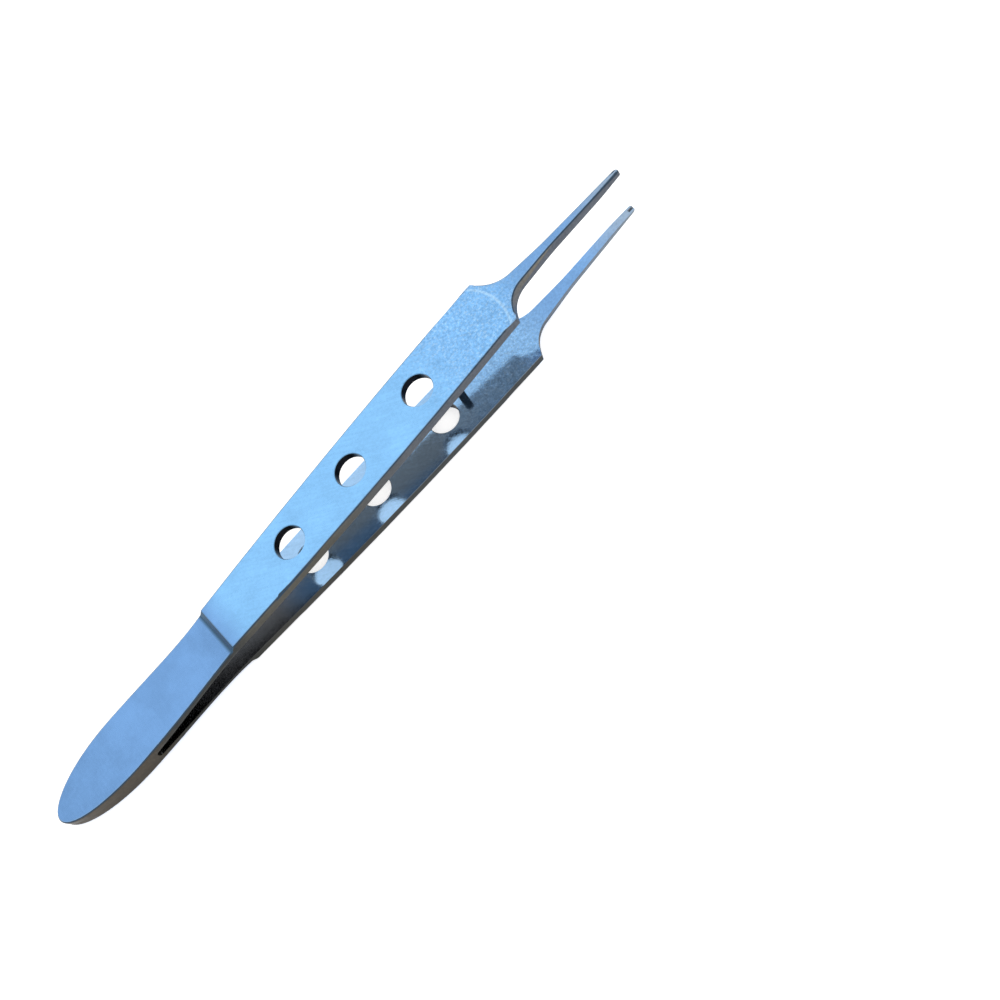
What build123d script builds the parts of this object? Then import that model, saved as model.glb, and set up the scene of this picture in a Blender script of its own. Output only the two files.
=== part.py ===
from build123d import *
import math
import os

# Fine tissue forceps with a flat three-hole handle: two sprung arms, welded at a rounded butt.
# The frame lies along the lower arm: X runs from the butt to the tips, Z is the opening direction,
# and the lower arm's handle plate rests on its outer face. Sizes are in millimetres.

# Lengths along an arm: the spring from butt end to step, then the plate to the shoulder, then the jaw
SPRING_LENGTH = 30.9
PLATE_LENGTH = 53.2
JAW_LENGTH = 22.9
WELD_LENGTH = 14.4

# How far the arms stand open; they part at the weld in a round-ended slot
SPREAD_ANGLE = 2.85
BUTT_MIDDLE_HEIGHT = 1.40
SLOT_GAP = 1.0
SLOT_END_RADIUS = 0.4
TIP_HALF_GAP = 3.76
TIP_CLOSED_GAP = 0.06
PIVOT_SETOFF = 3.0

# Butt and spring, seen from above
BUTT_WIDTH = 8.35
BUTT_TAPER_LENGTH = 12.5
SPRING_MIDDLE_X = 21.5
SPRING_MIDDLE_WIDTH = 7.9
SPRING_FRONT_WIDTH = 7.6

# Butt and spring, seen from the side; a lift is a height over the plate's outer face
BUTT_END_THICKNESS = 0.92
SPRING_REAR_X = 12.0
SPRING_REAR_LIFT = 0.50
SPRING_MIDDLE_LIFT = 0.76
SPRING_THICKNESS = 0.78
STEP_HEIGHT = 0.50
STEP_RUN = 0.60
STEP_EDGE_RADIUS = 0.30
STEP_FOOT_RADIUS = 0.20

# Handle plate
PLATE_THICKNESS = 1.35
GRIP_MIDDLE_WIDTH = 9.05
GRIP_FRONT_WIDTH = 8.85
SHOULDER_RADIUS = 0.35
SHOULDER_SLOPE_ANGLE = 32.0
EDGE_RADIUS = 0.30

# Round holes through the plate, placed back from the shoulder and then from hole to hole
HOLE_DIAMETER = 4.4
HOLE_EDGE_BREAK = 0.08
FRONT_HOLE_SETBACK = 14.6
FRONT_HOLE_PITCH = 12.9
REAR_HOLE_PITCH = 11.7

# Jaw: its outer face is ground to a slight crown, which runs out on the plate in a shallow arc
JAW_GRIND_START = 0.3
JAW_CROWN_RADIUS = 33.0
JAW_BEND_RADIUS = 30.0
NECK_WIDTH = 3.0
NECK_RADIUS = 4.4
WAIST_SETBACK = 13.4
WAIST_WIDTH = 1.65
WAIST_RADIUS = 45.0
PLATFORM_LENGTH = 4.0
TIP_WIDTH = 1.0
TIP_CORNER_RADIUS = 0.42
TIP_THICKNESS = 0.60
SIDE_LEAN_ANGLE = 14.0
SIDE_LAND = 0.15

# One tooth on the upper tip drops into the notch between the two teeth of the lower tip
NOTCH_WIDTH = 0.46
NOTCH_DEPTH = 0.40
NOTCH_LENGTH = 0.95
TOOTH_CLEARANCE = 0.05
TOOTH_SETBACK = 0.10

# Stop pin, pressed into the lower plate just ahead of the front hole, placed back from the shoulder
PIN_SETBACK = 10.8
PIN_DIAMETER = 1.1
PIN_STOP_GAP = 0.12
PIN_END_BREAK = 0.10

# How far cutting stock reaches past the metal it cuts
OVERRUN = 1.0

# Places along the arm that follow from those lengths
STEP_X = SPRING_LENGTH
SHOULDER_X = STEP_X + PLATE_LENGTH
ARM_LENGTH = SHOULDER_X + JAW_LENGTH
GRIP_MIDDLE_X = (STEP_X + SHOULDER_X) / 2
FRONT_HOLE_X = SHOULDER_X - FRONT_HOLE_SETBACK
MIDDLE_HOLE_X = FRONT_HOLE_X - FRONT_HOLE_PITCH
REAR_HOLE_X = MIDDLE_HOLE_X - REAR_HOLE_PITCH
PIN_X = SHOULDER_X - PIN_SETBACK
JAW_GRIND_X = SHOULDER_X + JAW_GRIND_START
WAIST_X = ARM_LENGTH - WAIST_SETBACK

# The middle plane between the arms rises from the butt at the spread angle
spread = math.radians(SPREAD_ANGLE)
middle_slope = math.tan(spread)


def middle_height(x):
    """Height of the middle plane over the lower arm's resting face."""
    return BUTT_MIDDLE_HEIGHT + middle_slope * x


# The crotch, where the weld ends and the arms part
crotch_z = middle_height(WELD_LENGTH)
middle = Plane(origin=(WELD_LENGTH, 0, crotch_z), x_dir=(1, 0, middle_slope), z_dir=(-middle_slope, 0, 1))

# The springs bend as if each turned about a pivot on the middle plane, a little ahead of the crotch
pivot_x = WELD_LENGTH + PIVOT_SETOFF
pivot_z = middle_height(pivot_x)

# The biting platforms at the tips lie on one line with the pivot, so they meet flat when closed
tip_angle = math.atan(TIP_HALF_GAP / (ARM_LENGTH - pivot_x))
tip_inner_z = middle_height(ARM_LENGTH) - TIP_HALF_GAP
tip_outer_z = tip_inner_z - TIP_THICKNESS
platform_x = ARM_LENGTH - PLATFORM_LENGTH
platform_slope = math.tan(spread - tip_angle)
platform_z = tip_inner_z - platform_slope * PLATFORM_LENGTH

# The jaw's outer face is ground along a line that rises from the plate to the tip
jaw_run = ARM_LENGTH - JAW_GRIND_X
on_jaw = Location((JAW_GRIND_X, 0, 0), (0, -math.degrees(math.atan(tip_outer_z / jaw_run)), 0))

# Closing turns the upper arm about the pivot until the platforms are this gap apart
closing_angle = 2 * tip_angle - TIP_CLOSED_GAP / math.hypot(ARM_LENGTH - pivot_x, TIP_HALF_GAP)

# The pin stops just short of the upper plate's inner face, as that lies when the tips have closed
closed_plate_angle = 2 * spread - closing_angle
closed_plate_z = (pivot_z + (pivot_z - PLATE_THICKNESS) / math.cos(closed_plate_angle)
                  + math.tan(closed_plate_angle) * (PIN_X - pivot_x))
pin_top_z = closed_plate_z - PIN_STOP_GAP


def arm_sides():
    """The lower arm seen from the side: all that lies over its outer face, and all over its inner face."""
    end_low = BUTT_MIDDLE_HEIGHT - BUTT_END_THICKNESS
    butt_low = (0, end_low)
    step_foot = (STEP_X - STEP_RUN, STEP_HEIGHT)
    step_edge = (STEP_X, 0)
    slot_corner = (WELD_LENGTH, crotch_z - SLOT_GAP / 2)
    spring_top = SPRING_MIDDLE_LIFT + SPRING_THICKNESS
    jaw_bend = (SHOULDER_X, PLATE_THICKNESS)
    platform = (platform_x, platform_z)
    beyond = ARM_LENGTH + OVERRUN
    behind = -OVERRUN
    high = 2 * middle_height(ARM_LENGTH)
    spring_rear = (SPRING_REAR_X, SPRING_REAR_LIFT)
    with BuildSketch(Plane.XZ) as outer:
        with BuildLine():
            under = Spline(butt_low, spring_rear, (SPRING_MIDDLE_X, SPRING_MIDDLE_LIFT), step_foot)
            Polyline(step_foot, step_edge, (beyond, 0), (beyond, high), (behind, high),
                     (behind, end_low + behind * (under % 0).Z / (under % 0).X), butt_low)
        make_face()
        fillet(outer.vertices().sort_by_distance(step_edge)[0], STEP_EDGE_RADIUS)
        fillet(outer.vertices().sort_by_distance(step_foot)[0], STEP_FOOT_RADIUS)
    with BuildSketch(Plane.XZ) as inner:
        with BuildLine():
            Spline((STEP_X, PLATE_THICKNESS), (SPRING_MIDDLE_X, spring_top), slot_corner,
                   tangents=[(-1, 0), (-1, 0)])
            Polyline(slot_corner, (WELD_LENGTH, high), (beyond, high),
                     (beyond, tip_inner_z + platform_slope * OVERRUN), platform, jaw_bend,
                     (STEP_X, PLATE_THICKNESS))
        make_face()
        fillet(inner.vertices().sort_by_distance(slot_corner)[0], SLOT_END_RADIUS)
        fillet(inner.vertices().sort_by_distance(jaw_bend)[0], JAW_BEND_RADIUS)
        fillet(inner.vertices().sort_by_distance(platform)[0], JAW_BEND_RADIUS)
    return [extrude(side.sketch, GRIP_MIDDLE_WIDTH, both=True) for side in (outer, inner)]


def arm_plan():
    """Outline of an arm seen from above, symmetric about the X axis."""
    spring_front = (STEP_X, SPRING_FRONT_WIDTH / 2)
    shoulder = (SHOULDER_X, GRIP_FRONT_WIDTH / 2)
    neck_run = (GRIP_FRONT_WIDTH - NECK_WIDTH) / 2 * math.tan(math.radians(SHOULDER_SLOPE_ANGLE))
    neck = (SHOULDER_X + neck_run, NECK_WIDTH / 2)
    waist = (WAIST_X, WAIST_WIDTH / 2)
    tip = (ARM_LENGTH, TIP_WIDTH / 2)
    with BuildSketch() as plan:
        with BuildLine():
            EllipticalCenterArc((BUTT_TAPER_LENGTH, 0), BUTT_TAPER_LENGTH, BUTT_WIDTH / 2,
                                start_angle=90, arc_size=90)
            grip = ThreePointArc(spring_front, (GRIP_MIDDLE_X, GRIP_MIDDLE_WIDTH / 2), shoulder)
            Spline((BUTT_TAPER_LENGTH, BUTT_WIDTH / 2), (SPRING_MIDDLE_X, SPRING_MIDDLE_WIDTH / 2),
                   spring_front, tangents=[(1, 0), grip % 0])
            Polyline(shoulder, neck, waist, tip, (ARM_LENGTH, 0), (0, 0))
        make_face()
        for corner, radius in ((shoulder, SHOULDER_RADIUS), (neck, NECK_RADIUS),
                               (waist, WAIST_RADIUS), (tip, TIP_CORNER_RADIUS)):
            fillet(plan.vertices().sort_by_distance(corner)[0], radius)
        mirror(about=Plane.XZ)
    return plan.sketch


def jaw_grinding():
    """What is ground off the jaw's outer face: all that lies outside a crowned, rising surface."""
    stock = Box(4 * jaw_run, 2 * GRIP_MIDDLE_WIDTH, JAW_CROWN_RADIUS)
    crown = Location((0, 0, JAW_CROWN_RADIUS), (0, 90, 0)) * Cylinder(JAW_CROWN_RADIUS, 5 * jaw_run)
    return on_jaw * (stock - crown)


def jaw_sides():
    """What is ground off the jaw's sides: each leans in from a narrow land at the inner face."""
    lean = math.tan(math.radians(SIDE_LEAN_ANGLE))
    slope = math.tan(math.radians(SHOULDER_SLOPE_ANGLE))
    waist_share = (WAIST_X - JAW_GRIND_X) / jaw_run
    waist_thickness = PLATE_THICKNESS + (TIP_THICKNESS - PLATE_THICKNESS) * waist_share
    neck_side = NECK_WIDTH / 2 - lean * (PLATE_THICKNESS - SIDE_LAND)
    waist_side = WAIST_WIDTH / 2 - lean * (waist_thickness - SIDE_LAND)
    tip_side = TIP_WIDTH / 2 - lean * (TIP_THICKNESS - SIDE_LAND)
    neck = (SHOULDER_X - JAW_GRIND_X + (GRIP_FRONT_WIDTH - NECK_WIDTH) / 2 * slope, neck_side)
    waist = (WAIST_X - JAW_GRIND_X, waist_side)
    wide = GRIP_MIDDLE_WIDTH
    with BuildSketch() as beside:
        with BuildLine():
            Polyline((neck[0] - (wide - neck_side) * slope, wide), neck, waist, (jaw_run, tip_side),
                     (2 * jaw_run, tip_side), (2 * jaw_run, wide), close=True)
        make_face()
        for corner, radius in ((neck, NECK_RADIUS), (waist, WAIST_RADIUS)):
            fillet(beside.vertices().sort_by_distance(corner)[0], radius)
    side = extrude(beside.sketch, 2 * PLATE_THICKNESS, dir=(0, lean, 1))
    return on_jaw * (side + mirror(side, about=Plane.XZ))


def outer_edges(blank):
    """The long edges where the walls of the outline meet the outer face."""
    walls = blank.faces().filter_by(lambda face: abs(face.normal_at(face.center()).Z) < 0.001)
    outer = walls.edges().filter_by(lambda edge: (edge @ 0.5).Z < blank.bounding_box().max.Z - EDGE_RADIUS)
    return outer.filter_by(lambda edge: abs((edge % 0.5).Z) < 0.5)


def blank_arm():
    """A lower arm before its holes and teeth: the outer edges are rounded, then the jaw is ground."""
    outer_side, inner_side = arm_sides()
    stock = extrude(arm_plan(), middle_height(ARM_LENGTH)) & outer_side
    blank = fillet(outer_edges(stock), EDGE_RADIUS) - jaw_grinding() - jaw_sides() - inner_side
    return split(blank, bisect_by=middle, keep=Keep.BOTTOM)


def plate_hole():
    """What one round hole takes out of the plate, with both of its rims broken at 45 degrees."""
    radius = HOLE_DIAMETER / 2
    flare = radius + HOLE_EDGE_BREAK + OVERRUN
    above = PLATE_THICKNESS + OVERRUN
    section = Polyline((0, 0, -OVERRUN), (flare, 0, -OVERRUN), (radius, 0, HOLE_EDGE_BREAK),
                       (radius, 0, PLATE_THICKNESS - HOLE_EDGE_BREAK), (flare, 0, above), (0, 0, above),
                       close=True)
    return revolve(make_face(section), Axis.Z)


def platform_bar(width, height, rear, front):
    """A bar of triangular section along the biting platform, from rear to front of the tip's end.

    A positive height points the bar's edge out of the platform, and a negative one into the tip.
    """
    tip_end = Plane(origin=(ARM_LENGTH, 0, tip_inner_z), x_dir=(0, 1, 0), z_dir=(1, 0, platform_slope))
    section = Polygon((-width / 2, 0), (width / 2, 0), (0, height), align=None)
    return extrude(tip_end.offset(rear) * section, front - rear, dir=tip_end.z_dir)


def lower_arm():
    """The lower arm: two teeth stand at the sides of a notch, and the plate takes the stop pin."""
    pin_hole = Pos(PIN_X, 0, 0) * Cylinder(PIN_DIAMETER / 2, 4 * PLATE_THICKNESS)
    notch = platform_bar(NOTCH_WIDTH, -NOTCH_DEPTH, -NOTCH_LENGTH, TIP_WIDTH)
    return pierced_arm - pin_hole - notch


def upper_arm():
    """The upper arm: the blank turned over about the middle plane, with one tooth for the notch."""
    tooth = platform_bar(NOTCH_WIDTH - 2 * TOOTH_CLEARANCE, NOTCH_DEPTH - TOOTH_CLEARANCE,
                         TOOTH_SETBACK - NOTCH_LENGTH, -TOOTH_SETBACK)
    return mirror(pierced_arm + tooth, about=middle)


def stop_pin():
    """The round pin, level with the resting face, that stops the upper plate once the tips have met."""
    pin = Pos(PIN_X, 0, pin_top_z / 2) * Cylinder(PIN_DIAMETER / 2, pin_top_z)
    return chamfer(pin.edges().filter_by(GeomType.CIRCLE), PIN_END_BREAK)


pierced_arm = blank_arm()
for hole_x in (REAR_HOLE_X, MIDDLE_HOLE_X, FRONT_HOLE_X):
    pierced_arm -= Pos(hole_x, 0, 0) * plate_hole()

# The origin is the middle of the forceps' footprint, on the face it rests on
pieces = {"lower_arm": lower_arm(), "upper_arm": upper_arm(), "stop_pin": stop_pin()}
extent = Compound(list(pieces.values())).bounding_box()
to_origin = Pos(-extent.center().X, -extent.center().Y, -extent.min.Z)

os.makedirs("parts", exist_ok=True)
for name, piece in pieces.items():
    export_step(to_origin * piece, f"parts/{name}.step")
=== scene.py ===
"""Fine tissue forceps in satin steel, dressed over their CAD frame and lying on a white floor."""

import logging
import math
from dataclasses import dataclass
from enum import Enum
from typing import Any

import bmesh
import bpy
from mathutils import Euler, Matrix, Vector


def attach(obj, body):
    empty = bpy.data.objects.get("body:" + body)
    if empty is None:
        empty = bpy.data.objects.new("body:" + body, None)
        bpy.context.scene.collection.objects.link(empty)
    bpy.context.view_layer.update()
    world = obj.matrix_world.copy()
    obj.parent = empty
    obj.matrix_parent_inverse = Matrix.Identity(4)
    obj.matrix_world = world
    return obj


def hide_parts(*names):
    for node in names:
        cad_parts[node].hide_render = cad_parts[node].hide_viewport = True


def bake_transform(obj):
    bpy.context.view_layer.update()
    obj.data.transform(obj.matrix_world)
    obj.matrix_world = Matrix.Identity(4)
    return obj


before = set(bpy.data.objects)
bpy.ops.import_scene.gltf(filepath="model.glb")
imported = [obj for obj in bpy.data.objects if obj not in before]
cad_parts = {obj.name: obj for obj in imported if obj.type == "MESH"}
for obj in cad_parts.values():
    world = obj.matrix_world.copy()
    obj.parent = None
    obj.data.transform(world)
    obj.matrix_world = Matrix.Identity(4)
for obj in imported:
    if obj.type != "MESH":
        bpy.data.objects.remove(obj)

LOG = logging.getLogger("forceps")

Colour = tuple[float, float, float]
Place = tuple[float, float, float]
Span = tuple[float, float]

MM = 0.001
WHITE: Colour = (1.0, 1.0, 1.0)


class Half(Enum):
    """The two halves that the spring at the butt joins."""

    LOWER = "lower_half"
    UPPER = "upper_half"


@dataclass(frozen=True)
class Stations:
    """Places along the lower arm, in metres from the middle of the forceps' length."""

    butt: float = -53.46 * MM
    crotch: float = -39.06 * MM
    step: float = -22.56 * MM
    shoulder: float = 30.64 * MM
    tip: float = 53.54 * MM
    holes: tuple[float, float, float] = (-8.56 * MM, 3.14 * MM, 16.04 * MM)
    hole_radius: float = 2.2 * MM


STATIONS = Stations()


@dataclass(frozen=True)
class ArmFrame:
    """An arm's own frame, that of the lower arm: its outer face looks down and lies level.

    The upper arm mirrors the lower one about the middle plane, which rises from the butt.
    """

    mirrored: bool
    rise: float = math.radians(2.85)
    butt_height: float = 1.40 * MM

    def weights(self) -> dict[str, float]:
        """Say how the arm's own place follows from a place in the scene.

        Returns:
            The weights that the arm's length and height give to the scene's X, Z and 1.
        """
        if not self.mirrored:
            return {
                "Length_X": 1.0,
                "Length_Z": 0.0,
                "Length_Shift": 0.0,
                "Height_X": 0.0,
                "Height_Z": 1.0,
                "Height_Shift": 0.0,
            }
        cosine, sine = math.cos(2 * self.rise), math.sin(2 * self.rise)
        return {
            "Length_X": cosine,
            "Length_Z": sine,
            "Length_Shift": (1 - cosine) * STATIONS.butt - sine * self.butt_height,
            "Height_X": sine,
            "Height_Z": -cosine,
            "Height_Shift": (1 + cosine) * self.butt_height - sine * STATIONS.butt,
        }

    def along(self) -> Vector:
        """Give the way along the arm, from butt to tip.

        Returns:
            The direction in the scene, of length 1.
        """
        weight = self.weights()
        return Vector((weight["Length_X"], 0.0, weight["Length_Z"]))

    def length(self, place: Vector) -> float:
        """Find how far along the arm a place lies.

        Args:
            place: The place in the scene.

        Returns:
            Its station, as on the lower arm.
        """
        weight = self.weights()
        return place.x * weight["Length_X"] + place.z * weight["Length_Z"] + weight["Length_Shift"]

    def height(self, place: Vector) -> float:
        """Find how high a place lies above the plane of the arm's outer face.

        Args:
            place: The place in the scene.

        Returns:
            Its height toward the arm's inner side.
        """
        weight = self.weights()
        return place.x * weight["Height_X"] + place.z * weight["Height_Z"] + weight["Height_Shift"]

    def inward(self, way: Vector) -> float:
        """Find how far a direction points from the arm's outer face to its inner face.

        Args:
            way: The direction in the scene, of length 1.

        Returns:
            From -1, outward, to 1, inward.
        """
        weight = self.weights()
        return way.x * weight["Height_X"] + way.z * weight["Height_Z"]


@dataclass(frozen=True)
class MixKind:
    """A type of data that the Mix node takes, and the numbers of the sockets that serve it."""

    data_type: str
    first: int
    second: int
    result: int


MIX_NUMBERS = MixKind("FLOAT", first=2, second=3, result=0)
MIX_COLOURS = MixKind("RGBA", first=6, second=7, result=2)


class Graph:
    """A node tree that is filled by short calls."""

    def __init__(self, tree: bpy.types.NodeTree) -> None:
        """Take an empty tree.

        Args:
            tree: The node tree that the calls fill.
        """
        self.tree = tree

    def node(self, kind: str, settings: dict[str, Any] | None = None, **inputs: Any) -> bpy.types.Node:
        """Add a node and feed its inputs.

        Args:
            kind: Blender's name for the node type.
            settings: The node's own properties.
            inputs: Input name, with _ for a space, to a constant or a socket.

        Returns:
            The new node.
        """
        made = self.tree.nodes.new(kind)
        for name, value in (settings or {}).items():
            setattr(made, name, value)
        for name, value in inputs.items():
            self.feed(made.inputs[name.replace("_", " ")], value)
        return made

    def feed(self, socket: bpy.types.NodeSocket, value: Any) -> None:
        """Link a socket, or set its constant.

        Args:
            socket: The input.
            value: An output socket, a number or a sequence.
        """
        if isinstance(value, bpy.types.NodeSocket):
            self.tree.links.new(value, socket)
        elif socket.type == "RGBA" and len(value) == 3:
            socket.default_value = (*value, 1.0)
        else:
            socket.default_value = value

    def math(self, operation: str, *values: Any, clamp: bool = False) -> bpy.types.NodeSocket:
        """Add a Math node.

        Args:
            operation: The Math node's operation.
            values: Its inputs, in order.
            clamp: Whether the result is kept from 0 to 1.

        Returns:
            The result.
        """
        made = self.node("ShaderNodeMath", {"operation": operation, "use_clamp": clamp})
        for socket, value in zip(made.inputs, values):
            self.feed(socket, value)
        return made.outputs[0]

    def smooth(self, value: Any, low: float, high: float) -> bpy.types.NodeSocket:
        """Rise smoothly from 0 at low to 1 at high.

        Args:
            value: The value that is read.
            low: Where the rise starts.
            high: Where it ends.

        Returns:
            The share, from 0 to 1.
        """
        made = self.node("ShaderNodeMapRange", {"interpolation_type": "SMOOTHSTEP"}, Value=value)
        self.feed(made.inputs["From Min"], low)
        self.feed(made.inputs["From Max"], high)
        return made.outputs["Result"]

    def fall(self, value: Any, low: float, high: float) -> bpy.types.NodeSocket:
        """Fall smoothly from 1 at low to 0 at high.

        Args:
            value: The value that is read.
            low: Where the fall starts.
            high: Where it ends.

        Returns:
            The share, from 0 to 1.
        """
        return self.math("SUBTRACT", 1.0, self.smooth(value, low, high))

    def mix(self, kind: MixKind, share: Any, first: Any, second: Any) -> bpy.types.NodeSocket:
        """Mix two values of one type.

        Args:
            kind: The values' type.
            share: 0 gives the first value and 1 the second.
            first: The first value.
            second: The second value.

        Returns:
            The mixed value.
        """
        made = self.node("ShaderNodeMix", {"data_type": kind.data_type})
        self.feed(made.inputs[0], share)
        self.feed(made.inputs[kind.first], first)
        self.feed(made.inputs[kind.second], second)
        return made.outputs[kind.result]

    def blend(self, share: Any, first: Any, second: Any) -> bpy.types.NodeSocket:
        """Mix two colours.

        Args:
            share: 0 gives the first colour and 1 the second.
            first: The first colour.
            second: The second colour.

        Returns:
            The mixed colour.
        """
        return self.mix(MIX_COLOURS, share, first, second)

    def lerp(self, share: Any, first: Any, second: Any) -> bpy.types.NodeSocket:
        """Mix two numbers.

        Args:
            share: 0 gives the first number and 1 the second.
            first: The first number.
            second: The second number.

        Returns:
            The mixed number.
        """
        return self.mix(MIX_NUMBERS, share, first, second)

    def scale(self, colour: Any, factor: Any) -> bpy.types.NodeSocket:
        """Brighten or darken a colour.

        Args:
            colour: The colour.
            factor: What it is multiplied by.

        Returns:
            The scaled colour.
        """
        made = self.node("ShaderNodeVectorMath", {"operation": "SCALE"})
        self.feed(made.inputs[0], colour)
        self.feed(made.inputs["Scale"], factor)
        return made.outputs[0]


def blank_material(label: str) -> tuple[bpy.types.Material, Graph]:
    """Make a material with an empty node tree.

    Args:
        label: The material's name.

    Returns:
        The material, and the graph that fills it.
    """
    made = bpy.data.materials.new(label)
    made.use_nodes = True
    made.node_tree.nodes.clear()
    return made, Graph(made.node_tree)


@dataclass(frozen=True)
class Relief:
    """How strongly the fine marks of a surface show as relief, and how high it is in metres."""

    strength: float
    distance: float


def steel_surface(graph: Graph, colour: Any, rough: Any, height: Any, relief: Relief) -> None:
    """End a material in bare steel.

    Args:
        graph: The material's tree.
        colour: The steel's colour.
        rough: Its roughness.
        height: The height of its fine marks, from 0 to 1.
        relief: How that height shows.
    """
    bump = graph.node(
        "ShaderNodeBump", Height=height, Strength=relief.strength, Distance=relief.distance
    )
    steel = graph.node(
        "ShaderNodeBsdfPrincipled",
        Base_Color=colour,
        Roughness=rough,
        Metallic=1.0,
        Normal=bump.outputs["Normal"],
    )
    leave = graph.node("ShaderNodeOutputMaterial")
    graph.feed(leave.inputs["Surface"], steel.outputs["BSDF"])


class EffectGroup:
    """A shader node group that several materials share."""

    name = "effect"
    takes: dict[str, float] = {}
    gives: tuple[str, ...] = ()

    def tree(self) -> bpy.types.NodeTree:
        """Return the group, building it the first time.

        Returns:
            The group's node tree.
        """
        known = bpy.data.node_groups.get(self.name)
        if known is not None:
            return known
        made = bpy.data.node_groups.new(self.name, "ShaderNodeTree")
        for label, default in self.takes.items():
            socket = made.interface.new_socket(label, in_out="INPUT", socket_type="NodeSocketFloat")
            socket.default_value = default
        for label in self.gives:
            made.interface.new_socket(label, in_out="OUTPUT", socket_type="NodeSocketFloat")
        graph = Graph(made)
        entry = graph.node("NodeGroupInput")
        leave = graph.node("NodeGroupOutput")
        for label, result in self.build(graph, entry.outputs).items():
            graph.feed(leave.inputs[label], result)
        return made

    def build(self, graph: Graph, given: Any) -> dict[str, bpy.types.NodeSocket]:
        """Fill the group.

        Args:
            graph: The group's tree.
            given: The group's inputs, by name.

        Returns:
            The result for each named output.
        """
        raise NotImplementedError

    def place(self, graph: Graph, **values: float) -> Any:
        """Put the group into a material.

        Args:
            graph: The material's tree.
            values: Input name, with _ for a space, to its value.

        Returns:
            The group node's outputs.
        """
        used = graph.node("ShaderNodeGroup", {"node_tree": self.tree()}, **values)
        return used.outputs


class BrushedGrain(EffectGroup):
    """Fine lines left by a brush or belt, along the arm, across it or askew."""

    name = "brushed grain"
    takes = {"Along": 200.0, "Across": 5000.0, "Unevenness": 0.3, "Turn": 0.0}
    gives = ("Lines",)
    fine = {"Scale": 1.0, "Detail": 4.0, "Roughness": 0.6}
    broad = {"Scale": 0.13, "Detail": 2.0, "Roughness": 0.5}
    contrast: Span = (0.32, 0.68)

    def build(self, graph: Graph, given: Any) -> dict[str, bpy.types.NodeSocket]:
        """Stretch noise along one way.

        Args:
            graph: The group's tree.
            given: The group's inputs, by name.

        Returns:
            The lines' strength, from 0 to 1.
        """
        place = graph.node("ShaderNodeTexCoord").outputs["Object"]
        turned = graph.node("ShaderNodeVectorRotate", {"rotation_type": "Z_AXIS"}, Vector=place)
        graph.feed(turned.inputs["Angle"], given["Turn"])
        split = graph.node("ShaderNodeSeparateXYZ", Vector=turned.outputs["Vector"])
        along = graph.math("MULTIPLY", split.outputs["X"], given["Along"])
        across = graph.math("MULTIPLY", split.outputs["Y"], given["Across"])
        height = graph.math("MULTIPLY", split.outputs["Z"], given["Across"])
        joined = graph.node("ShaderNodeCombineXYZ", X=along, Y=across, Z=height)
        fine = graph.node("ShaderNodeTexNoise", Vector=joined.outputs[0], **self.fine)
        broad = graph.node("ShaderNodeTexNoise", Vector=joined.outputs[0], **self.broad)
        lines = graph.lerp(given["Unevenness"], fine.outputs["Fac"], broad.outputs["Fac"])
        return {"Lines": graph.smooth(lines, *self.contrast)}


@dataclass(frozen=True)
class Brushing:
    """One set of brush lines: how fast it varies along and across the arm, and how it is turned."""

    along: float
    across: float
    unevenness: float
    turn: float = 0.0

    def lines(self, graph: Graph) -> bpy.types.NodeSocket:
        """Lay the lines in a material.

        Args:
            graph: The material's tree.

        Returns:
            The lines' strength, from 0 to 1.
        """
        placed = BrushedGrain().place(
            graph, Along=self.along, Across=self.across, Unevenness=self.unevenness, Turn=self.turn
        )
        return placed["Lines"]


class Speckle(EffectGroup):
    """The fine grain of a blasted surface."""

    name = "blasted speckle"
    takes = {"Scale": 4200.0, "Cloud Scale": 260.0}
    gives = ("Grain", "Cloud", "Flecks")
    grain = {"Detail": 3.0, "Roughness": 0.65}
    cloud = {"Detail": 4.0, "Roughness": 0.62}
    flecks = {"Detail": 1.0, "Roughness": 0.5}
    fleck_fineness = 1.3
    contrast: Span = (0.30, 0.70)
    fleck_contrast: Span = (0.48, 0.72)

    def build(self, graph: Graph, given: Any) -> dict[str, bpy.types.NodeSocket]:
        """Lay fine grain, slow clouds and sparse bright flecks.

        Args:
            graph: The group's tree.
            given: The group's inputs, by name.

        Returns:
            The grain, the cloud and the flecks, each from 0 to 1.
        """
        place = graph.node("ShaderNodeTexCoord").outputs["Object"]
        grain = graph.node("ShaderNodeTexNoise", Vector=place, Scale=given["Scale"], **self.grain)
        cloud = graph.node("ShaderNodeTexNoise", Vector=place, Scale=given["Cloud Scale"], **self.cloud)
        finer = graph.math("MULTIPLY", given["Scale"], self.fleck_fineness)
        spots = graph.node("ShaderNodeTexNoise", Vector=place, Scale=finer, **self.flecks)
        return {
            "Grain": graph.smooth(grain.outputs["Fac"], *self.contrast),
            "Cloud": graph.smooth(cloud.outputs["Fac"], *self.contrast),
            "Flecks": graph.smooth(spots.outputs["Fac"], *self.fleck_contrast),
        }


def span_at(station: float, span: Span) -> Span:
    """Set a span at a station of the arm.

    Args:
        station: The station.
        span: Where the span starts and ends, from the station on.

    Returns:
        Where it starts and ends on the arm.
    """
    return station + span[0], station + span[1]


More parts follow.
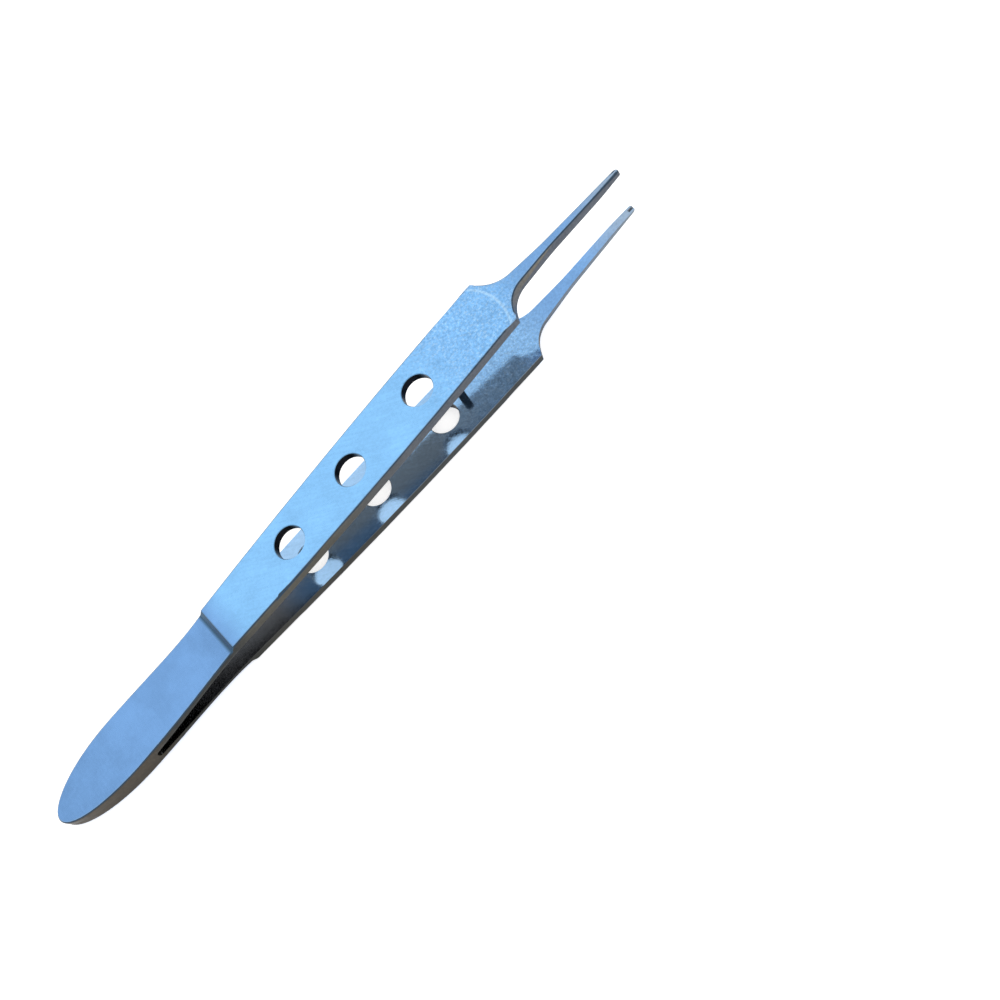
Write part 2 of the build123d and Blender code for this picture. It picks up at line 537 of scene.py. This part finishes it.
@dataclass(frozen=True)
class ZoneSpans:
    """Where the arm's zones fade in or out.

    The first group lies along the arm, in metres from the station that it is named after or set at.
    The second is in metres from an arc, a rim or the outer face's plane. The third is read from the
    surface's direction: 0 on a wall and 1 on a broad face, or how far it faces toward the tips.
    """

    butt: Span = (-2 * MM, 5 * MM)
    rear: Span = (-9 * MM, -2 * MM)
    plate: Span = (-0.6 * MM, 4.0 * MM)
    front: Span = (-19 * MM, -6 * MM)
    jaw: Span = (-1 * MM, 7 * MM)
    tip: Span = (-11 * MM, -1 * MM)
    before_step: Span = (-1.20 * MM, -0.60 * MM)
    after_step: Span = (-0.35 * MM, 0.25 * MM)
    slot_end_shade: Span = (0.25 * MM, 0.60 * MM)

    hole_rim: Span = (0.30 * MM, 0.55 * MM)
    grind_line: Span = (0.06 * MM, 0.30 * MM)
    inner_lip_highlight: Span = (1.20 * MM, 1.27 * MM)

    face: Span = (0.36, 0.60)
    inner: Span = (0.3, 0.5)
    rounding: Span = (0.975, 0.992)
    painted_rim_highlight: Span = (0.90, 0.95)
    painted_rim_reflection: Span = (0.86, 0.95)
    facing_tips: Span = (0.15, 0.4)


class ArmZones(EffectGroup):
    """Where a point of an arm lies: on its butt, spring, plate or jaw, on a broad face or a wall."""

    name = "arm zones"
    takes = {
        "Length X": 1.0,
        "Length Z": 0.0,
        "Length Shift": 0.0,
        "Height X": 0.0,
        "Height Z": 1.0,
        "Height Shift": 0.0,
    }
    gives = (
        "Butt",
        "Rear",
        "Plate",
        "Mid",
        "Front",
        "Jaw",
        "Tip",
        "Face",
        "Inner",
        "Painted Rim Highlight",
        "Painted Rim Reflection",
        "Inner Lip Highlight",
        "Slot End",
        "Step Shade",
        "Hole",
        "Grind Line",
    )
    spans = ZoneSpans()
    grind_line_setoff = 0.30 * MM
    grind_line_bow = 70.0
    far_from_holes = 1.0

    def build(self, graph: Graph, given: Any) -> dict[str, bpy.types.NodeSocket]:
        """Read the place and the surface's direction in the arm's own frame.

        Args:
            graph: The group's tree.
            given: The group's inputs, by name.

        Returns:
            Each zone's share, from 0 to 1.
        """
        coordinates = graph.node("ShaderNodeTexCoord")
        place = graph.node("ShaderNodeSeparateXYZ", Vector=coordinates.outputs["Object"])
        way = graph.node("ShaderNodeSeparateXYZ", Vector=coordinates.outputs["Normal"])
        length = graph.math("MULTIPLY_ADD", place.outputs["X"], given["Length X"], given["Length Shift"])
        length = graph.math("MULTIPLY_ADD", place.outputs["Z"], given["Length Z"], length)
        height = graph.math("MULTIPLY_ADD", place.outputs["X"], given["Height X"], given["Height Shift"])
        height = graph.math("MULTIPLY_ADD", place.outputs["Z"], given["Height Z"], height)
        inward = graph.math("MULTIPLY", way.outputs["X"], given["Height X"])
        inward = graph.math("MULTIPLY_ADD", way.outputs["Z"], given["Height Z"], inward)
        flatness = graph.math("ABSOLUTE", inward)
        rounding = graph.fall(flatness, *self.spans.rounding)
        painted_rim_highlight = graph.smooth(flatness, *self.spans.painted_rim_highlight)
        return {
            "Butt": graph.fall(length, *span_at(STATIONS.crotch, self.spans.butt)),
            "Rear": graph.fall(length, *span_at(STATIONS.holes[0], self.spans.rear)),
            "Plate": graph.smooth(length, *span_at(STATIONS.step, self.spans.plate)),
            "Mid": graph.smooth(length, STATIONS.holes[0], STATIONS.holes[2]),
            "Front": graph.smooth(length, *span_at(STATIONS.shoulder, self.spans.front)),
            "Jaw": graph.smooth(length, *span_at(STATIONS.shoulder, self.spans.jaw)),
            "Tip": graph.smooth(length, *span_at(STATIONS.tip, self.spans.tip)),
            "Face": graph.smooth(flatness, *self.spans.face),
            "Inner": graph.smooth(inward, *self.spans.inner),
            "Painted Rim Highlight": graph.math("MULTIPLY", rounding, painted_rim_highlight),
            "Painted Rim Reflection": graph.fall(flatness, *self.spans.painted_rim_reflection),
            "Inner Lip Highlight": graph.smooth(height, *self.spans.inner_lip_highlight),
            "Slot End": self._slot_end(graph, length, way.outputs["X"]),
            "Step Shade": self._step(graph, length),
            "Hole": self._hole(graph, length, place.outputs["Y"]),
            "Grind Line": self._grind_line(graph, length, place.outputs["Y"]),
        }

    def _step(self, graph: Graph, length: Any) -> bpy.types.NodeSocket:
        """Mark the foot of the step, soft on the spring's side, where a shade is painted.

        Args:
            graph: The group's tree.
            length: The place along the arm.

        Returns:
            The share, from 0 to 1.
        """
        before = graph.smooth(length, *span_at(STATIONS.step, self.spans.before_step))
        after = graph.fall(length, *span_at(STATIONS.step, self.spans.after_step))
        return graph.math("MULTIPLY", before, after)

    def _slot_end(self, graph: Graph, length: Any, forward: Any) -> bpy.types.NodeSocket:
        """Mark the narrow end of the slot between the arms, where the weld stops, for its painted shade
        and matt steel.

        Args:
            graph: The group's tree.
            length: The place along the arm.
            forward: How far the surface faces toward the tips.

        Returns:
            The share, from 0 to 1.
        """
        rear = graph.fall(length, *span_at(STATIONS.crotch, self.spans.slot_end_shade))
        return graph.math("MULTIPLY", rear, graph.smooth(forward, *self.spans.facing_tips))

    def _hole(self, graph: Graph, length: Any, across: Any) -> bpy.types.NodeSocket:
        """Mark the walls and the rims of the round holes, whose walls get painted shade.

        Args:
            graph: The group's tree.
            length: The place along the arm.
            across: The place across the arm.

        Returns:
            The share, 1 out to the rim and 0 from half a millimetre beyond.
        """
        nearest: Any = self.far_from_holes
        squared = graph.math("MULTIPLY", across, across)
        for centre in STATIONS.holes:
            apart = graph.math("SUBTRACT", length, centre)
            distance = graph.math("SQRT", graph.math("MULTIPLY_ADD", apart, apart, squared))
            nearest = graph.math("MINIMUM", nearest, distance)
        return graph.fall(nearest, *span_at(STATIONS.hole_radius, self.spans.hole_rim))

    def _grind_line(self, graph: Graph, length: Any, across: Any) -> bpy.types.NodeSocket:
        """Mark the shallow arc where the jaw's grinding runs out on the plate.

        Args:
            graph: The group's tree.
            length: The place along the arm.
            across: The place across the arm.

        Returns:
            The share, from 0 to 1.
        """
        sag = graph.math("MULTIPLY", graph.math("MULTIPLY", across, across), self.grind_line_bow)
        line = graph.math("ADD", length, sag)
        middle = STATIONS.shoulder + self.grind_line_setoff
        apart = graph.math("ABSOLUTE", graph.math("SUBTRACT", line, middle))
        return graph.fall(apart, *self.spans.grind_line)


@dataclass(frozen=True)
class WallFinish:
    """Tones of an arm's narrow walls from butt to tip, each darker or warmer than the faces: a painted
    reflection of dimmer, warmer surroundings.
    """

    butt: Colour = (0.098, 0.084, 0.066)
    spring: Colour = (0.060, 0.063, 0.062)
    plate: Colour = (0.116, 0.112, 0.096)
    front: Colour = (0.133, 0.148, 0.175)
    jaw: Colour = (0.205, 0.192, 0.165)
    tip: Colour = (0.150, 0.180, 0.215)
    # Painted highlight along the top of the wall, by the inner face.
    inner_lip_highlight: Colour = (0.133, 0.148, 0.175)
    # Painted shade at the narrow end of the slot.
    slot_end_shade: Colour = (0.035, 0.033, 0.030)
    # Painted shade in the holes.
    hole_shade: Colour = (0.012, 0.012, 0.016)

    def colour(self, graph: Graph, zone: Any) -> bpy.types.NodeSocket:
        """Blend the tones along the arm.

        Args:
            graph: The material's tree.
            zone: The zones' shares, by name.

        Returns:
            The wall's colour.
        """
        made = graph.blend(zone["Butt"], self.spring, self.butt)
        made = graph.blend(zone["Plate"], made, self.plate)
        made = graph.blend(zone["Mid"], made, self.front)
        made = graph.blend(zone["Jaw"], made, self.jaw)
        made = graph.blend(zone["Tip"], made, self.tip)
        # A painted highlight along the wall's inner edge, toward the front.
        lip_highlight = graph.math("MULTIPLY", zone["Inner Lip Highlight"], zone["Mid"])
        made = graph.blend(lip_highlight, made, self.inner_lip_highlight)
        # Painted shade at the end of the slot.
        made = graph.blend(zone["Slot End"], made, self.slot_end_shade)
        # Painted shade on the holes' walls.
        return graph.blend(zone["Hole"], made, self.hole_shade)


@dataclass(frozen=True)
class MarkDepth:
    """How far brushing, blasting and clouds lighten or darken each zone, from darkest to lightest."""

    spring: float = 0.10
    plate: float = 0.20
    front: float = 0.46
    jaw: float = 0.20
    walls: float = 0.34
    spring_clouds: float = 0.15
    plate_clouds: float = 0.11

    def marks(self, graph: Graph, zone: Any) -> bpy.types.NodeSocket:
        """Blend the depths of the fine marks along the arm.

        Args:
            graph: The material's tree.
            zone: The zones' shares, by name.

        Returns:
            The depth.
        """
        made = graph.lerp(zone["Plate"], self.spring, self.plate)
        made = graph.lerp(zone["Front"], made, self.front)
        made = graph.lerp(zone["Jaw"], made, self.jaw)
        return graph.lerp(zone["Face"], self.walls, made)

    def clouds(self, graph: Graph, zone: Any) -> bpy.types.NodeSocket:
        """Blend the depths of the clouds along the arm.

        Args:
            graph: The material's tree.
            zone: The zones' shares, by name.

        Returns:
            The depth.
        """
        return graph.lerp(zone["Plate"], self.spring_clouds, self.plate_clouds)


@dataclass(frozen=True)
class ArmFinish:
    """Satin steel of one arm, whose broad faces differ from its walls by painted reflection: a blue sky
    on the faces, dimmer, warmer surroundings on the walls.
    """

    label: str
    place: ArmFrame
    walls: WallFinish = WallFinish()
    # The broad faces' blue is a painted sky reflection; the tones from butt to tip, and on the inner
    # faces, are partly painted light and shade.
    spring: Colour = (0.198, 0.405, 0.765)
    plate: Colour = (0.266, 0.584, 0.975)
    plate_front: Colour = (0.225, 0.500, 0.880)
    jaw: Colour = (0.195, 0.390, 0.710)
    tip: Colour = (0.330, 0.450, 0.600)
    flecks: Colour = (0.460, 0.700, 0.940)
    inner_spring: Colour = (0.460, 0.490, 0.520)
    inner_plate: Colour = (0.330, 0.540, 0.800)
    inner_front: Colour = (0.220, 0.430, 0.720)
    # Painted highlight just inside the rounded rims of the outer face.
    painted_rim_highlight: Colour = (0.330, 0.540, 0.820)
    # Painted dark reflection on the rounded rims of the outer face.
    painted_rim_reflection: Colour = (0.055, 0.090, 0.135)
    # Painted reflection on the eased rim of the inner face.
    painted_inner_rim_reflection: Colour = (0.210, 0.250, 0.300)
    # Painted shade at the foot of the step.
    painted_step_shade: Colour = (0.068, 0.140, 0.225)
    spring_roughness: float = 0.26
    plate_roughness: float = 0.30
    inner_roughness: float = 0.11
    wall_roughness: float = 0.33
    slot_end_roughness: float = 0.95
    roughness_swing: float = 0.10
    wall_brushing: Brushing = Brushing(160.0, 4200.0, unevenness=0.4)
    spring_brushing: Brushing = Brushing(4200.0, 380.0, unevenness=0.3)
    plate_brushing: Brushing = Brushing(90.0, 2600.0, unevenness=0.1, turn=math.radians(38))
    speckle_scale: float = 2600.0
    cloud_scale: float = 190.0
    rear_brushing_share: float = 0.45
    front_brushing_share: float = 0.15
    depth: MarkDepth = MarkDepth()
    outer_fleck_share: float = 0.55
    inner_fleck_share: float = 0.30
    grind_line_share: float = 0.6
    painted_rim_highlight_share: float = 0.75
    painted_rim_reflection_lost_at_holes: float = 0.75
    speckle_height: float = 0.16
    grain_height: float = 0.10
    relief: Relief = Relief(strength=0.35, distance=0.00003)

    def material(self) -> bpy.types.Material:
        """Build the steel's material.

        Returns:
            The material.
        """
        made, graph = blank_material(self.label)
        zone = ArmZones().place(graph, **self.place.weights())
        speckle = Speckle().place(graph, Scale=self.speckle_scale, Cloud_Scale=self.cloud_scale)

        outer = self._outer(graph, zone, speckle["Flecks"])
        inner = self._inner(graph, zone, speckle["Flecks"])
        colour = graph.blend(zone["Inner"], outer, inner)
        colour = graph.blend(zone["Face"], self.walls.colour(graph, zone), colour)

        marks = graph.lerp(
            zone["Plate"], self.spring_brushing.lines(graph), self.plate_brushing.lines(graph)
        )
        marks = graph.lerp(zone["Face"], self.wall_brushing.lines(graph), marks)
        share = graph.lerp(zone["Front"], self.rear_brushing_share, self.front_brushing_share)
        swing = graph.math("SUBTRACT", graph.lerp(share, speckle["Grain"], marks), 0.5)
        clouds = graph.math("SUBTRACT", speckle["Cloud"], 0.5)
        shade = graph.math("MULTIPLY_ADD", swing, self.depth.marks(graph, zone), 1.0)
        shade = graph.math("MULTIPLY_ADD", clouds, self.depth.clouds(graph, zone), shade)

        rough = graph.math("MULTIPLY_ADD", swing, self.roughness_swing, self._roughness(graph, zone))
        height = graph.math("MULTIPLY", marks, self.grain_height)
        height = graph.math("MULTIPLY_ADD", speckle["Grain"], self.speckle_height, height)
        steel_surface(graph, graph.scale(colour, shade), rough, height, self.relief)
        return made

    def _roughness(self, graph: Graph, zone: Any) -> bpy.types.NodeSocket:
        """Blend the roughness along the arm and from face to wall.

        Args:
            graph: The material's tree.
            zone: The zones' shares, by name.

        Returns:
            The roughness.
        """
        made = graph.lerp(zone["Plate"], self.spring_roughness, self.plate_roughness)
        made = graph.lerp(zone["Inner"], made, self.inner_roughness)
        made = graph.lerp(zone["Face"], self.wall_roughness, made)
        return graph.lerp(zone["Slot End"], made, self.slot_end_roughness)

    def _flecks(
        self, graph: Graph, zone: Any, flecks: Any, share: float, under: Any
    ) -> bpy.types.NodeSocket:
        """Lay the bright flecks of the plate's front over a colour.

        Args:
            graph: The material's tree.
            zone: The zones' shares, by name.
            flecks: Where the flecks are, from 0 to 1.
            share: How much of the colour a fleck covers.
            under: The colour under them.

        Returns:
            The colour with its flecks.
        """
        spots = graph.math("MULTIPLY", graph.math("MULTIPLY", flecks, zone["Front"]), share)
        return graph.blend(spots, under, self.flecks)

    def _outer(self, graph: Graph, zone: Any, flecks: Any) -> bpy.types.NodeSocket:
        """Colour the outer face, with painted shade at the foot of its step, a painted highlight and a
        painted dark reflection along its rims, and the line of the jaw's grinding.

        Args:
            graph: The material's tree.
            zone: The zones' shares, by name.
            flecks: Where the bright flecks are, from 0 to 1.

        Returns:
            The colour.
        """
        made = graph.blend(zone["Plate"], self.spring, self.plate)
        made = graph.blend(zone["Front"], made, self.plate_front)
        made = self._flecks(graph, zone, flecks, self.outer_fleck_share, made)
        made = graph.blend(zone["Jaw"], made, self.jaw)
        made = graph.blend(zone["Tip"], made, self.tip)
        grind_line = graph.math("MULTIPLY", zone["Grind Line"], self.grind_line_share)
        made = graph.blend(grind_line, made, self.flecks)
        # A painted highlight just inside the rounded rims.
        painted_rim_highlight = graph.math("MULTIPLY", zone["Painted Rim Highlight"], self.painted_rim_highlight_share)
        made = graph.blend(painted_rim_highlight, made, self.painted_rim_highlight)
        # A painted dark reflection on the rounded rims, weaker by the holes.
        off_hole = graph.math("MULTIPLY_ADD", zone["Hole"], -self.painted_rim_reflection_lost_at_holes, 1.0)
        made = graph.blend(graph.math("MULTIPLY", zone["Painted Rim Reflection"], off_hole), made, self.painted_rim_reflection)
        # Painted shade at the foot of the step.
        return graph.blend(zone["Step Shade"], made, self.painted_step_shade)

    def _inner(self, graph: Graph, zone: Any, flecks: Any) -> bpy.types.NodeSocket:
        """Colour the inner face, whose rim, a painted reflection, brightens toward the front.

        Args:
            graph: The material's tree.
            zone: The zones' shares, by name.
            flecks: Where the bright flecks are, from 0 to 1.

        Returns:
            The colour.
        """
        made = graph.blend(zone["Rear"], self.inner_plate, self.inner_spring)
        # Painted shade at the end of the slot.
        made = graph.blend(zone["Slot End"], made, self.walls.slot_end_shade)
        made = graph.blend(zone["Front"], made, self.inner_front)
        made = self._flecks(graph, zone, flecks, self.inner_fleck_share, made)
        made = graph.blend(zone["Jaw"], made, self.jaw)
        made = graph.blend(zone["Tip"], made, self.tip)
        # A painted reflection on the eased rim, toward the front.
        return graph.blend(graph.math("MULTIPLY", zone["Painted Rim Reflection"], zone["Mid"]), made, self.painted_inner_rim_reflection)


@dataclass(frozen=True)
class PinFinish:
    """Drawn steel of the stop pin, with turning marks around it, darkened by painted shade and lighter
    on its upward end by a painted highlight.
    """

    label: str = "pin steel with painted shade"
    # Near-black painted shade; the end that faces up is lighter, a painted highlight.
    colour: Colour = (0.045, 0.050, 0.058)
    end: Colour = (0.30, 0.40, 0.52)
    end_facing: Span = (0.6, 0.9)
    rings: Brushing = Brushing(900.0, 9000.0, unevenness=0.2)
    speckle_scale: float = 6000.0
    ring_share: float = 0.5
    darkest: float = 0.85
    tone_depth: float = 0.3
    roughness: float = 0.28
    roughness_swing: float = 0.14
    relief: Relief = Relief(strength=0.3, distance=0.00002)

    def material(self) -> bpy.types.Material:
        """Build the pin's material.

        Returns:
            The material.
        """
        made, graph = blank_material(self.label)
        rings = self.rings.lines(graph)
        speckle = Speckle().place(graph, Scale=self.speckle_scale)
        normal = graph.node("ShaderNodeTexCoord").outputs["Normal"]
        upward = graph.node("ShaderNodeSeparateXYZ", Vector=normal).outputs["Z"]
        colour = graph.blend(graph.smooth(upward, *self.end_facing), self.colour, self.end)
        tone = graph.lerp(self.ring_share, speckle["Grain"], rings)
        shade = graph.math("MULTIPLY_ADD", tone, self.tone_depth, self.darkest)
        rough = graph.math("MULTIPLY_ADD", tone, self.roughness_swing, self.roughness)
        steel_surface(graph, graph.scale(colour, shade), rough, rings, self.relief)
        return made


@dataclass(frozen=True)
class Easing:
    """How sharp edges are rounded: the width in metres, the facets, and whether it shrinks to fit."""

    width: float
    segments: int
    shrinks_to_fit: bool


@dataclass(frozen=True)
class NoseRounding:
    """Sizes that tell the points and edges of a tip's nose apart from the rest of the jaw."""

    end_reach: float = 0.2 * MM
    side_reach: float = 0.6 * MM
    off_middle: float = 0.3 * MM
    corner_reach: float = 0.45 * MM
    joined_heights: Span = (0.05 * MM, 0.34 * MM)


@dataclass
class Arm:
    """One sprung arm: its CAD mesh with a rounded nose and eased edges, cut so that it can bend.

    The two limits say how far inward a surface of the outer face or of a wall may face: the inner
    face does so by 1, the outer face by -1 and an upright wall by 0.
    """

    node: str
    half: Half
    finish: ArmFinish
    edge_easing: Easing = Easing(0.08 * MM, segments=2, shrinks_to_fit=True)
    jaw_easing: Easing = Easing(0.22 * MM, segments=4, shrinks_to_fit=False)
    nose: NoseRounding = NoseRounding()
    outer_limit: float = -0.8
    wall_limit: float = 0.6
    crisp_angle: float = math.radians(50)
    smooth_angle: float = math.radians(40)
    flat_angle: float = math.radians(0.4)
    weld_distance: float = 0.0005 * MM
    cut_distance: float = 0.001 * MM
    face_weight: int = 100
    bend: Span = (STATIONS.crotch, STATIONS.step)
    bend_cuts: int = 24
    bend_height: float = 3 * MM

    def build(self) -> bpy.types.Object:
        """Copy the node's mesh, cut it across the spring, round its nose and ease its sharp edges.

        Returns:
            The new piece, in place.
        """
        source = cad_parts[self.node]
        mesh = source.data.copy()
        mesh.name = f"{self.node}_dressed"
        work = bmesh.new()
        work.from_mesh(mesh)
        bmesh.ops.remove_doubles(work, verts=work.verts, dist=self.weld_distance)
        bmesh.ops.dissolve_limit(
            work, angle_limit=self.flat_angle, verts=work.verts, edges=work.edges
        )
        self._cut_across(work)
        self._round_nose(work)
        self._ease(work)
        for face in work.faces:
            face.smooth = True
        work.normal_update()
        for edge in work.edges:
            edge.smooth = edge.calc_face_angle(0.0) < self.smooth_angle
        work.to_mesh(mesh)
        work.free()
        loaded_normals = mesh.attributes.get("custom_normal")
        if loaded_normals is not None:
            mesh.attributes.remove(loaded_normals)
        piece = bpy.data.objects.new(f"{self.node}_dressed", mesh)
        bpy.context.scene.collection.objects.link(piece)
        return self._weigh_normals(piece)

    def _cut_across(self, work: bmesh.types.BMesh) -> None:
        """Cut the mesh into short lengths along the spring.

        Args:
            work: The mesh that is cut.
        """
        start, end = self.bend
        for number in range(self.bend_cuts + 1):
            place = start + (end - start) * number / self.bend_cuts
            bmesh.ops.bisect_plane(
                work,
                geom=[*work.verts, *work.edges, *work.faces],
                plane_co=(place, 0, 0),
                plane_no=(1, 0, 0),
                dist=self.cut_distance,
            )

    def _round_nose(self, work: bmesh.types.BMesh) -> None:
        """Round the tip's outline on the outer face, where the leaning sides leave it square.

        The points just inside each corner are joined to it first, so that the wall doesn't fold.

        Args:
            work: The mesh whose tip is shaped.
        """
        place = self.finish.place
        nose = [
            vert
            for vert in work.verts
            if place.length(vert.co) > STATIONS.tip - self.nose.end_reach
            and any(place.inward(face.normal) < self.outer_limit for face in vert.link_faces)
        ]
        half_width = max(abs(vert.co.y) for vert in nose)
        lowest, highest = self.nose.joined_heights
        for corner in (max(nose, key=lambda vert: vert.co.y), min(nose, key=lambda vert: vert.co.y)):
            joined = [
                vert
                for vert in work.verts
                if (vert.co - corner.co).length < self.nose.corner_reach
                and vert.co.y * corner.co.y > 0
                and abs(vert.co.y) > self.nose.off_middle
                and lowest < place.height(vert.co) - place.height(corner.co) < highest
            ]
            LOG.info("%s: %d points joined at a corner of the nose", self.node, len(joined))
            bmesh.ops.weld_verts(work, targetmap={vert: corner for vert in joined})
        for vert in nose:
            setback = half_width - math.sqrt(max(half_width**2 - vert.co.y**2, 0.0))
            move = STATIONS.tip - setback - place.length(vert.co)
            vert.co += place.along() * min(move, 0.0)
        work.normal_update()

    def _ease(self, work: bmesh.types.BMesh) -> None:
        """Round the jaw's outer edges well, and the other crisp edges by a hair.

        The short edges at the sides of the nose stay crisp.

        Args:
            work: The mesh whose edges are eased.
        """
        place = self.finish.place
        crisp = [edge for edge in work.edges if edge.calc_face_angle(0.0) > self.crisp_angle]
        jaw_outer = [
            edge
            for edge in crisp
            if min(place.length(end.co) for end in edge.verts) > STATIONS.shoulder
            and min(place.inward(face.normal) for face in edge.link_faces) < self.outer_limit
        ]
        nose_sides = [
            edge
            for edge in crisp
            if min(place.length(end.co) for end in edge.verts) > STATIONS.tip - self.nose.side_reach
            and min(abs(end.co.y) for end in edge.verts) > self.nose.off_middle
            and max(abs(place.inward(face.normal)) for face in edge.link_faces) < self.wall_limit
        ]
        set_apart = {*jaw_outer, *nose_sides}
        others = [edge for edge in crisp if edge not in set_apart]
        for edges, easing in ((others, self.edge_easing), (jaw_outer, self.jaw_easing)):
            bmesh.ops.bevel(
                work,
                geom=[edge for edge in edges if edge.is_valid],
                offset=easing.width,
                offset_type="OFFSET",
                segments=easing.segments,
                profile=0.5,
                affect="EDGES",
                clamp_overlap=easing.shrinks_to_fit,
            )

    def _weigh_normals(self, piece: bpy.types.Object) -> bpy.types.Object:
        """Keep the broad faces flat beside the eased edges.

        Args:
            piece: The piece whose normals are weighed by face size.

        Returns:
            The same piece.
        """
        weigh = piece.modifiers.new("flat_faces", "WEIGHTED_NORMAL")
        weigh.keep_sharp = True
        weigh.weight = self.face_weight
        graph = bpy.context.evaluated_depsgraph_get()
        final = bpy.data.meshes.new_from_object(piece.evaluated_get(graph))
        piece.modifiers.clear()
        piece.data = final
        return piece

    def dress(self, piece: bpy.types.Object) -> None:
        """Give the piece its steel, hide its CAD node, and hang the lower arm on its body; the upper
        arm's place is baked into its mesh.

        Args:
            piece: The finished mesh.
        """
        piece.data.materials.clear()
        piece.data.materials.append(self.finish.material())
        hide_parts(self.node)
        if self.half is Half.UPPER:
            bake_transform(piece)
        else:
            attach(piece, self.half.value)


@dataclass
class StopPin:
    """The pin that stands in the lower plate and stops the plates."""

    node: str = "stop_pin"
    finish: PinFinish = PinFinish()

    def dress(self) -> None:
        """Give the CAD pin its drawn steel, with its painted shade and highlight."""
        material = self.finish.material()
        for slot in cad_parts[self.node].material_slots:
            slot.material = material


@dataclass(frozen=True)
class Panel:
    """A soft light panel that faces the object, with its size in metres and its power in watts."""

    name: str
    place: Place
    size: Span
    power: float

    def build(self) -> None:
        """Hang the panel."""
        lamp = bpy.data.lights.new(self.name, "AREA")
        lamp.shape = "RECTANGLE"
        lamp.size, lamp.size_y = self.size
        lamp.energy = self.power
        holder = bpy.data.objects.new(self.name, lamp)
        holder.location = self.place
        holder.rotation_euler = Vector(self.place).to_track_quat("Z", "Y").to_euler()
        bpy.context.scene.collection.objects.link(holder)


@dataclass(frozen=True)
class Viewpoint:
    """The photograph's viewpoint: place in metres, turn in degrees, lens and sensor in millimetres."""

    place: Place = (0.000256, -0.084298, 0.123230)
    turn: tuple[float, float, float] = (24.446, 18.206, -44.506)
    lens: float = 41.04
    sensor_width: float = 36.0
    nearest: float = 0.005
    furthest: float = 20.0

    def build(self) -> None:
        """Set the camera there."""
        data = bpy.data.cameras.new("viewpoint")
        data.sensor_fit = "HORIZONTAL"
        data.sensor_width = self.sensor_width
        data.lens = self.lens
        data.clip_start = self.nearest
        data.clip_end = self.furthest
        camera = bpy.data.objects.new("viewpoint", data)
        camera.location = self.place
        camera.rotation_euler = Euler([math.radians(turn) for turn in self.turn], "XYZ")
        bpy.context.scene.collection.objects.link(camera)
        bpy.context.scene.camera = camera


@dataclass
class Studio:
    """White floor, even white surroundings, a soft panel and the camera."""

    floor_size: float = 6.0
    floor_colour: Colour = (0.90, 0.90, 0.90)
    floor_glow: float = 0.66
    mirrored_glow: float = 0.25
    surround: float = 0.80
    panel: Panel = Panel("sky_panel", place=(0.02, 0.36, 0.46), size=(0.62, 0.50), power=0.25)
    viewpoint: Viewpoint = Viewpoint()

    def floor(self) -> None:
        """Lay the floor, which shows white and keeps the object's shadow."""
        half = self.floor_size / 2
        mesh = bpy.data.meshes.new("floor")
        corners = [(-half, -half, 0), (half, -half, 0), (half, half, 0), (-half, half, 0)]
        mesh.from_pydata(corners, [], [(0, 1, 2, 3)])
        floor = bpy.data.objects.new("floor", mesh)
        bpy.context.scene.collection.objects.link(floor)
        made, graph = blank_material("white floor")
        path = graph.node("ShaderNodeLightPath")
        matt = graph.node("ShaderNodeBsdfDiffuse", Color=self.floor_colour)
        seen = graph.math("ADD", path.outputs["Is Transmission Ray"], path.outputs["Is Glossy Ray"])
        seen = graph.math("MULTIPLY", seen, self.mirrored_glow)
        strength = graph.math("MULTIPLY_ADD", path.outputs["Is Camera Ray"], self.floor_glow, seen)
        glow = graph.node("ShaderNodeEmission", Strength=strength)
        both = graph.node("ShaderNodeAddShader")
        graph.feed(both.inputs[0], matt.outputs[0])
        graph.feed(both.inputs[1], glow.outputs[0])
        leave = graph.node("ShaderNodeOutputMaterial")
        graph.feed(leave.inputs["Surface"], both.outputs[0])
        mesh.materials.append(made)

    def surroundings(self) -> None:
        """Light the room evenly, and show it white to the camera."""
        world = bpy.data.worlds.new("white room")
        bpy.context.scene.world = world
        world.use_nodes = True
        world.node_tree.nodes.clear()
        graph = Graph(world.node_tree)
        path = graph.node("ShaderNodeLightPath")
        strength = graph.lerp(path.outputs["Is Camera Ray"], self.surround, 1.0)
        light = graph.node("ShaderNodeBackground", Color=WHITE, Strength=strength)
        leave = graph.node("ShaderNodeOutputWorld")
        graph.feed(leave.inputs["Surface"], light.outputs[0])

    def build(self) -> None:
        """Set up the floor, the light and the camera."""
        self.floor()
        self.surroundings()
        self.panel.build()
        self.viewpoint.build()
        bpy.context.scene.view_settings.view_transform = "Standard"


# The lower arm's walls: darker by painted shade, bluer at the jaw, with a stronger painted highlight
# along the inner edge.
LOWER_WALLS = WallFinish(
    spring=(0.056, 0.057, 0.052),
    plate=(0.078, 0.078, 0.070),
    front=(0.088, 0.096, 0.100),
    jaw=(0.150, 0.200, 0.260),
    inner_lip_highlight=(0.230, 0.280, 0.340),
)
LOWER_FINISH = ArmFinish("lower arm steel", ArmFrame(mirrored=False), LOWER_WALLS)
# The upper arm's underside carries painted shade, dim and warm, so that its reflection in the lower arm
# stays dark.
UPPER_FINISH = ArmFinish(
    "upper arm steel",
    ArmFrame(mirrored=True),
    inner_spring=(0.300, 0.285, 0.280),
    inner_plate=(0.300, 0.250, 0.220),
    inner_front=(0.420, 0.360, 0.330),
    inner_roughness=0.20,
)


def main() -> None:
    """Build the forceps piece by piece and set them in the studio."""
    logging.basicConfig(level=logging.INFO, format="%(name)s: %(message)s")
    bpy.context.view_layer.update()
    arms = [
        Arm("lower_arm", Half.LOWER, LOWER_FINISH),
        Arm("upper_arm", Half.UPPER, UPPER_FINISH),
    ]
    for arm in arms:
        piece = arm.build()
        arm.dress(piece)
        LOG.info("%s: %d faces", piece.name, len(piece.data.polygons))
    StopPin().dress()
    LOG.info("stop_pin: dressed")
    Studio().build()
    LOG.info("sizes written")


if __name__ == "__main__":
    main()
